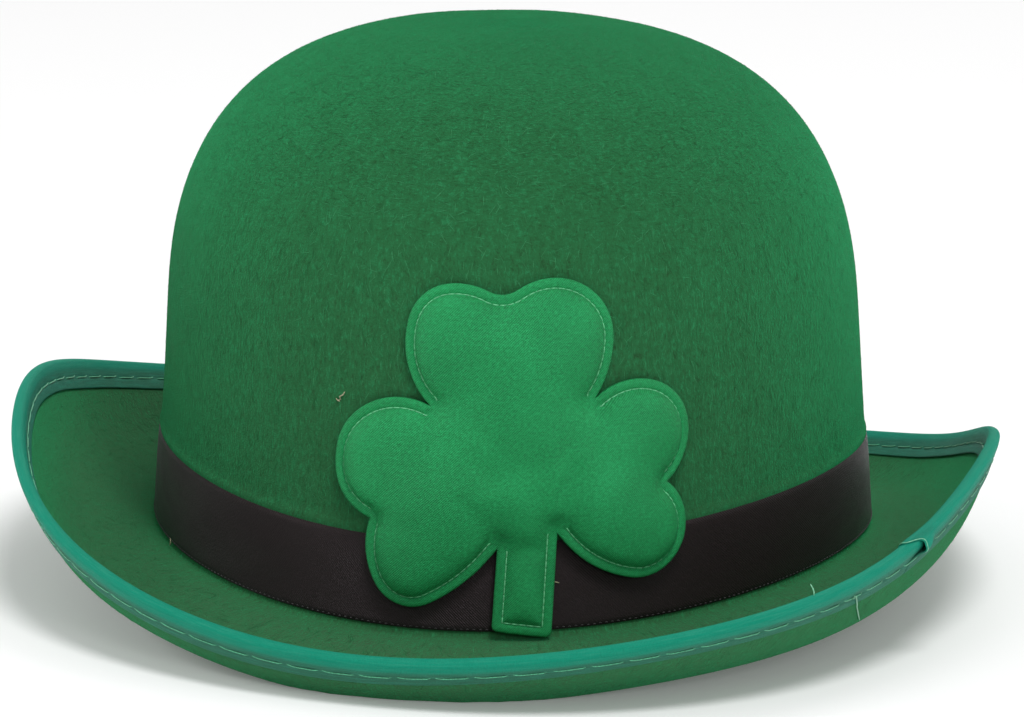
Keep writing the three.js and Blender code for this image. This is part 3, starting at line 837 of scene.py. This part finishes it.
# Stitches
def tube_along(paths, radius, sides=6):
    """Joins a round thread along each path into one set of places and faces."""
    places = []
    faces = []
    for path in paths:
        path = np.asarray(path, dtype=float)
        along = unit(np.gradient(path, axis=0))
        helper = np.array([0.13, 0.31, 0.94])
        side = unit(np.cross(along, helper))
        other = np.cross(along, side)
        start = len(places)
        count = len(path)
        for index in range(count):
            taper = 0.55 if index in (0, count - 1) else 1.0
            for corner in range(sides):
                bend = TURN * corner / sides
                spoke = math.cos(bend) * side[index] + math.sin(bend) * other[index]
                places.append(path[index] + radius * taper * spoke)
        for index in range(count - 1):
            for corner in range(sides):
                after = (corner + 1) % sides
                a = start + index * sides
                b = a + sides
                faces.append((a + corner, a + after, b + after, b + corner))
        faces.append(tuple(start + corner for corner in reversed(range(sides))))
        faces.append(tuple(start + (count - 1) * sides + corner for corner in range(sides)))
    return places, faces


def tape_stitches(material):
    """A long lockstitch down both legs: each stitch lies on the tape and dives at its ends."""
    fine = np.linspace(0, TURN, RING_STEPS)
    edge = brim_offset(fine, np.ones_like(fine), 0.0)
    length = length_along(edge)
    count = int(round(length[-1] / STITCH_PITCH))
    pitch = length[-1] / count
    dive = np.array([0.4, 0.05, 0, 0, 0, 0, 0, 0.03, 0.35])
    slip = np.array([-0.75, -0.35, -0.05, 0, 0, 0, 0, 0.04, 0.1])
    on_tape = TAPE_LIFT - 0.14 + STITCH_RADIUS
    paths = []
    for stitch in range(count):
        for side, face in ((-1, -on_tape), (1, FELT_THICKNESS + on_tape)):
            run = pitch * (stitch + np.linspace(0.01, 0.99, 9) + rng.uniform(-0.01, 0.01))
            angle = np.interp(run % length[-1], length, fine)
            lift = lap_lift((angle - TAPE_LAP_ANGLE) % TURN, STITCH_INWARD, face)
            share = share_from_edge(angle, STITCH_INWARD + slip + rng.uniform(-0.08, 0.08))
            paths.append(brim_offset(angle, share, face + side * (lift - dive)))
    places, faces = tube_along(paths, STITCH_RADIUS)
    return mesh_from("edge_tape_stitches", places, faces, material)


def ribbon_picots(material):
    """The ribbon's woven selvedge: a row of tiny loops along its lower edge."""
    fine = np.linspace(0, TURN, RING_STEPS)
    foot = crown_offset(fine, 0.0, RIBBON_EDGE)
    length = length_along(foot)
    count = int(length[-1] / PICOT_PITCH)
    paths = []
    for loop in range(count):
        angle = np.interp(length[-1] * (loop + np.linspace(0.2, 0.55, 4)) / count, length, fine)
        height = 0.45 + np.array([-0.12, 0.0, 0.0, -0.12]) + rng.uniform(-0.05, 0.05)
        paths.append(crown_offset(angle, height, RIBBON_EDGE + np.array([0.02, 0.15, 0.15, 0.02])))
    places, faces = tube_along(paths, PICOT_RADIUS, 5)
    return mesh_from("ribbon_picots", places, faces, material)


# Loose ends
def loose_threads(material, raised_end):
    """Two stray ends of the tape's thread near the right front, and the lap's ravelled end."""
    root = brim_offset(math.radians(41), 1.0, 0.2, 1.0)
    stub = root + np.array([[0, 0, -0.3], [0, 0, 0.7], [-0.3, 0.1, 1.6], [-0.9, 0.2, 2.5]])
    angle = np.radians([47.3, 47.7, 48.2, 48.9, 49.7, 50.7, 51.8, 53.0])
    inward = np.array([2.9, 3.3, 5.0, 7.2, 9.8, 13.0, 16.8, 21.0])
    away = FELT_THICKNESS + np.array([0.4, 0.75, 0.8, 0.7, 0.35, 0.3, 0.35, 0.5])
    tail = brim_offset(angle, share_from_edge(angle, inward), away)
    angle = np.radians([47.3, 47.9, 47.6, 47.2])
    inward = np.array([3.9, 3.6, 3.1, 3.4])
    knot = brim_offset(angle, share_from_edge(angle, inward), FELT_THICKNESS + 0.7)
    places, faces = tube_along([stub, tail, knot], LOOSE_THREAD_RADIUS)
    end_places, end_faces = tube_along([raised_end], RAVELLED_END_RADIUS)
    shift = len(places)
    faces += [tuple(corner + shift for corner in face) for face in end_faces]
    return mesh_from("loose_thread_ends", np.array(places + end_places), faces, material)


def stray_lint(material):
    """Pale specks of fluff caught on the felt and the band."""
    # Each is a few steps of degrees round the crown, height on it, and how far off its face
    fluff = [
        ([-16.5, -16.1, -16.3, -15.7, -15.4], [48.6, 48.8, 49.4, 49.9, 50.6], 0.25),
        ([-16.9, -16.6, -16.2], [48.9, 48.5, 48.4], 0.3),
        ([-56.4, -56.1, -56.3], [-0.6, 0.2, 1.1], 1.0),
        ([18.3, 18.7, 19.1], [11.0, 10.8, 10.6], 0.8),
        ([17.7, 17.9], [11.9, 11.6], 0.8),
    ]
    paths = [crown_offset(np.radians(angle), np.array(height), out) for angle, height, out in fluff]
    places, faces = tube_along(paths, LINT_RADIUS)
    return mesh_from("stray_lint", places, faces, material)


# Shamrock
OUTLINE_STEP = 0.9
FILL_STEP = 1.15
FOAM_SHOULDER = 5.0
RIM_WELT = 0.3
STEM_MIDDLE = 2.3
STEM_THINNING = 0.5
RIM_STITCH_PITCH = 1.7
RIM_STITCH_RADIUS = 0.14
shamrock_foot = min(up for _, up, _ in SHAMROCK_OUTLINE) * SHAMROCK_WIDTH


def shamrock_outline(step):
    points = []
    for index, (across, up, bulge) in enumerate(SHAMROCK_OUTLINE):
        start = np.array([across, up]) * SHAMROCK_WIDTH
        following = SHAMROCK_OUTLINE[(index + 1) % len(SHAMROCK_OUTLINE)]
        end = np.array(following[:2]) * SHAMROCK_WIDTH
        chord = np.linalg.norm(end - start)
        along = (end - start) / chord
        outward = np.array([along[1], -along[0]])
        depth = bulge * chord
        count = max(round(chord / step), 2)
        share = np.arange(count) / count
        if bulge:
            radius = chord * chord / (8 * depth) + depth / 2
            half = math.asin(chord / 2 / radius)
            turn = -half + 2 * half * share
            run = chord / 2 + radius * np.sin(turn)
            rise = radius * (np.cos(turn) - 1) + depth
        else:
            run = chord * share
            rise = run * 0
        points.append(start + run[:, None] * along + rise[:, None] * outward)
    return np.concatenate(points)


def distance_to(points, outline):
    start = outline[None]
    side = np.roll(outline, -1, axis=0)[None] - start
    least = np.full(len(points), np.inf)
    for chunk in range(0, len(points), 400):
        part = points[chunk:chunk + 400][:, None]
        share = np.clip(((part - start) * side).sum(-1) / (side ** 2).sum(-1), 0, 1)
        gap = np.linalg.norm(part - start - share[..., None] * side, axis=-1)
        least[chunk:chunk + 400] = gap.min(axis=1)
    return least


def is_inside(points, outline):
    x, y = points[:, 0:1], points[:, 1:2]
    a = outline[None]
    b = np.roll(outline, -1, axis=0)[None]
    straddles = (a[..., 1] > y) != (b[..., 1] > y)
    rise = np.where(np.abs(b[..., 1] - a[..., 1]) < 1e-12, 1e-12, b[..., 1] - a[..., 1])
    crossing = (b[..., 0] - a[..., 0]) * (y - a[..., 1]) / rise + a[..., 0]
    return (straddles & (x < crossing)).sum(axis=1) % 2 == 1


def inset(outline, amount):
    before = unit(outline - np.roll(outline, 1, axis=0))
    after = unit(np.roll(outline, -1, axis=0) - outline)
    along = unit(before + after)
    inward = np.stack([-along[:, 1], along[:, 0]], -1)
    cosine = np.abs(inward[:, 0] * -after[:, 1] + inward[:, 1] * after[:, 0])
    moved = outline + inward * (amount / np.maximum(cosine, 0.6))[:, None]
    keep = (distance_to(moved, outline) > amount * 0.93) & is_inside(moved, outline)
    return moved[keep]


def angle_at_length(length):
    turn = np.zeros_like(length)
    steps = 60
    for _ in range(steps):
        turn = turn + length / steps / np.hypot(half_width * np.cos(turn), half_length * np.sin(turn))
    return turn


def shamrock_place(flat, thickness):
    """Lays a flat place of the shamrock on the crown, over the band."""
    height = flat[:, 1] - shamrock_foot + STEM_FOOT_HEIGHT
    angle = angle_at_length((SHAMROCK_ACROSS + flat[:, 0]) / crown_share(height))
    step_foot = BAND_WIDTH + STEP_START
    on_band = 1 - smooth_step(step_foot, step_foot + STEP_EASE, height)
    lift = LOBE_LIFT * (2 * flat[:, 0] / SHAMROCK_WIDTH) ** 2
    back = PATCH_CLEARANCE + (BAND_THICKNESS + GAP) * on_band + lift
    return crown_offset(angle, height, back + thickness)


def foam_rise(points, distance):
    """The foam's height above the groove: a steep shoulder, and thinner down the stem."""
    share = np.clip((distance - RIM_WIDTH) / FOAM_SHOULDER, 0, 1)
    beside = np.abs(points[:, 0] - STEM_MIDDLE)
    down_stem = smooth_step(-14, -20, points[:, 1]) * (1 - smooth_step(6, 9, beside))
    depth = (PAD_THICKNESS - GROOVE_THICKNESS) * (1 - STEM_THINNING * down_stem)
    return depth * np.sqrt(1 - (1 - share) ** 2)


def rim_thickness(distance):
    """A rounded welt from the edge in to the stitched groove."""
    share = np.clip(distance / RIM_WIDTH, 0, 1)
    return GROOVE_THICKNESS + RIM_WELT * np.sin(math.pi * share) ** 0.6


def shamrock_sheet():
    """The flat front sheet: its points, triangles, and how far each lies from the outline."""
    outline = shamrock_outline(OUTLINE_STEP)
    rings = [outline] + [inset(outline, amount) for amount in (0.3, 0.8, 1.4, 1.9, RIM_WIDTH, 2.6, 3.3)]
    low, high = outline.min(axis=0), outline.max(axis=0)
    xs = np.arange(low[0], high[0], FILL_STEP)
    ys = np.arange(low[1], high[1], FILL_STEP * 0.866)
    grid = np.array([(x + (row % 2) * FILL_STEP / 2, y) for row, y in enumerate(ys) for x in xs])
    grid = grid[is_inside(grid, outline)]
    grid = grid[distance_to(grid, outline) > 3.9]
    points = np.concatenate(rings + [grid])
    count = len(outline)
    edges = [(index, (index + 1) % count) for index in range(count)]
    found = delaunay_2d_cdt([Vector(point) for point in points], edges, [], 0, 1e-5)
    points = np.array([tuple(point) for point in found[0]])
    triangles = np.array([face for face in found[2] if len(face) == 3])
    middles = points[triangles].mean(axis=1)
    triangles = triangles[is_inside(middles, outline)]
    return points, triangles, distance_to(points, outline), outline


PUFF_LIMIT = 4.2
PUFF_FRAMES = 24
CLOTH_SCALE = 10  # the cloth is worked out ten times as large, where its forces behave


def puff(points, triangles, distance, rise):
    """Drapes the sheet over its foam as slightly slack cloth, and returns its new places."""
    mesh = bpy.data.meshes.new("pad_cloth")
    raised = np.concatenate([points, rise[:, None]], axis=1) * MM * CLOTH_SCALE
    mesh.from_pydata(raised.tolist(), [], triangles.tolist())
    cloth_object = bpy.data.objects.new("pad_cloth", mesh)
    bpy.context.collection.objects.link(cloth_object)
    pinned = cloth_object.vertex_groups.new(name="pinned")
    pinned.add([int(index) for index in np.nonzero(distance <= RIM_WIDTH + 0.05)[0]], 1.0, "REPLACE")
    cloth = cloth_object.modifiers.new("cloth", "CLOTH")
    settings = cloth.settings
    settings.quality = 6
    settings.mass = 0.3
    settings.tension_stiffness = 30
    settings.compression_stiffness = 30
    settings.shear_stiffness = 15
    settings.bending_stiffness = 6
    settings.air_damping = 4
    settings.vertex_group_mass = "pinned"
    settings.pin_stiffness = 1
    settings.shrink_min = -0.006
    settings.use_pressure = True
    settings.uniform_pressure_force = 4
    settings.effector_weights.gravity = 0
    cloth.collision_settings.use_collision = False
    cloth.point_cache.frame_end = PUFF_FRAMES
    for number in range(1, PUFF_FRAMES + 1):
        bpy.context.scene.frame_set(number)
    shaped = cloth_object.evaluated_get(bpy.context.evaluated_depsgraph_get())
    places = np.array([vertex.co for vertex in shaped.data.vertices]) / MM / CLOTH_SCALE
    bpy.data.objects.remove(cloth_object)
    bpy.context.scene.frame_set(1)
    return places


def build_shamrock(material):
    points, triangles, distance, outline = shamrock_sheet()
    rise = foam_rise(points, distance)
    thickness = np.where(distance <= RIM_WIDTH, rim_thickness(distance), GROOVE_THICKNESS + rise)
    flat = points.copy()
    blown = puff(points, triangles, distance, rise)
    inside = distance > RIM_WIDTH
    rise = np.clip(np.abs(blown[:, 2]), 0, PUFF_LIMIT)
    thickness = np.where(inside, GROOVE_THICKNESS + rise, thickness)
    flat = np.where(inside[:, None], blown[:, :2], points)
    front = shamrock_place(flat, thickness)
    back = shamrock_place(points, np.zeros(len(points)))
    count = len(points)
    faces = triangles.tolist() + (triangles[:, ::-1] + count).tolist()
    for step in range(len(outline)):
        after = (step + 1) % len(outline)
        faces.append((step + count, after + count, after, step))
    piece = mesh_from("padded_shamrock", np.concatenate([front, back]), faces, material)
    weave = np.concatenate([points, points])
    set_vectors(piece.data, "weave", np.concatenate([weave, weave[:, :1] * 0], axis=1))
    return piece


def shamrock_stitches(material):
    """Small running stitches along the groove inside the rim."""
    line = inset(shamrock_outline(0.4), RIM_WIDTH)
    line = np.concatenate([line, line[:1]])
    length = length_along(line)
    count = int(length[-1] / RIM_STITCH_PITCH)
    paths = []
    for stitch in range(count):
        run = length[-1] * (stitch + np.linspace(0.03, 0.97, 6)) / count
        flat = np.stack([np.interp(run, length, line[:, 0]), np.interp(run, length, line[:, 1])], -1)
        arch = GROOVE_THICKNESS + np.array([0.0, 0.24, 0.3, 0.3, 0.24, 0.0])
        paths.append(shamrock_place(flat, arch))
    places, faces = tube_along(paths, RIM_STITCH_RADIUS)
    return mesh_from("shamrock_stitches", places, faces, material)


# Studio
def studio_floor():
    size = 6.0
    mesh = bpy.data.meshes.new("studio_floor")
    corners = [(-size, -size, 0), (size, -size, 0), (size, size, 0), (-size, size, 0)]
    mesh.from_pydata(corners, [], [(0, 1, 2, 3)])
    floor = bpy.data.objects.new("studio_floor", mesh)
    bpy.context.collection.objects.link(floor)
    paint = Shader("floor_paper", Roughness=0.9, Emission_Color=(1, 1, 1, 1), Emission_Strength=0.12)
    paint.color((0.9, 0.9, 0.9))
    mesh.materials.append(paint.material)


def soft_light(name, place, size, watts):
    lamp = bpy.data.lights.new(name, "AREA")
    lamp.shape = "DISK"
    lamp.size = size
    lamp.energy = watts
    light = bpy.data.objects.new(name, lamp)
    bpy.context.collection.objects.link(light)
    light.location = place
    towards = Vector((0, 0, 0.06)) - Vector(place)
    light.rotation_euler = towards.to_track_quat("-Z", "Y").to_euler()


def studio_lights():
    bpy.context.scene.view_settings.view_transform = "Standard"
    world = bpy.data.worlds.new("studio")
    bpy.context.scene.world = world
    world.use_nodes = True
    world.node_tree.nodes["Background"].inputs["Color"].default_value = (1, 1, 1, 1)
    world.node_tree.nodes["Background"].inputs["Strength"].default_value = 0.45
    soft_light("key", (0.49, -1.00, 2.05), 0.8, 26)
    soft_light("front", (0.85, -1.75, 0.75), 0.4, 5)
    soft_light("fill", (-1.70, -0.42, 1.0), 0.7, 8)
    soft_light("back", (0.2, 1.5, 1.6), 1.2, 9)


def match_camera():
    azimuth, elevation = math.radians(CAMERA_AZIMUTH), math.radians(CAMERA_ELEVATION)
    level = math.cos(elevation)
    back = Vector((math.sin(azimuth) * level, -math.cos(azimuth) * level, math.sin(elevation)))
    right = Vector((math.cos(azimuth), math.sin(azimuth), 0))
    up = back.cross(right)
    target = Vector(hat_shift) + Vector((0, 0, CAMERA_TARGET_HEIGHT * MM))
    place = target + back * CAMERA_DISTANCE * MM
    aim = target + (right * AIM_RIGHT + up * AIM_UP) * MM
    back = (place - aim).normalized()
    right = up.cross(back).normalized()
    up = back.cross(right)
    turned = Matrix((right, up, back)).transposed() @ Matrix.Rotation(math.radians(CAMERA_ROLL), 3, "Z")
    lens = bpy.data.cameras.new("camera")
    lens.sensor_width = 36
    lens.lens = PIXELS_PER_MM * CAMERA_DISTANCE / IMAGE_WIDTH * lens.sensor_width
    lens.clip_end = 30
    camera = bpy.data.objects.new("camera", lens)
    bpy.context.collection.objects.link(camera)
    camera.matrix_world = Matrix.Translation(place) @ turned.to_4x4()
    bpy.context.scene.camera = camera


# The pieces, each in the place of its solid
def fit(piece, slot, *solids):
    """Puts a piece on the hat's one body, in the place of the solids that it stands for."""
    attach(piece, "root")
    if solids:
        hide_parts(*solids)
    return piece


match_camera()
studio_lights()
studio_floor()

fit(build_felt(felt_material()), "felt", "felt_body")
fit(build_band(band_material()), "band_satin", "hat_band")
fit(nap_strands(nap_material()), "felt")

tape, raised_end = build_tape(tape_material())
fit(tape, "edge_tape", "edge_binding")
fit(tape_stitches(thread_material("tape_thread", (0.12, 0.60, 0.33))), "edge_tape")
fit(loose_threads(thread_material("loose_thread", (0.22, 0.62, 0.38)), raised_end), "edge_tape")
fit(ribbon_picots(thread_material("ribbon_thread", (0.05, 0.04, 0.045))), "band_satin")
fit(stray_lint(thread_material("lint", (0.42, 0.40, 0.24))), "felt")

shamrock = fit(build_shamrock(shamrock_material()), "shamrock_satin", "shamrock_patch")
fit(shamrock_stitches(thread_material("shamrock_thread", (0.16, 0.66, 0.32))), "shamrock_satin")
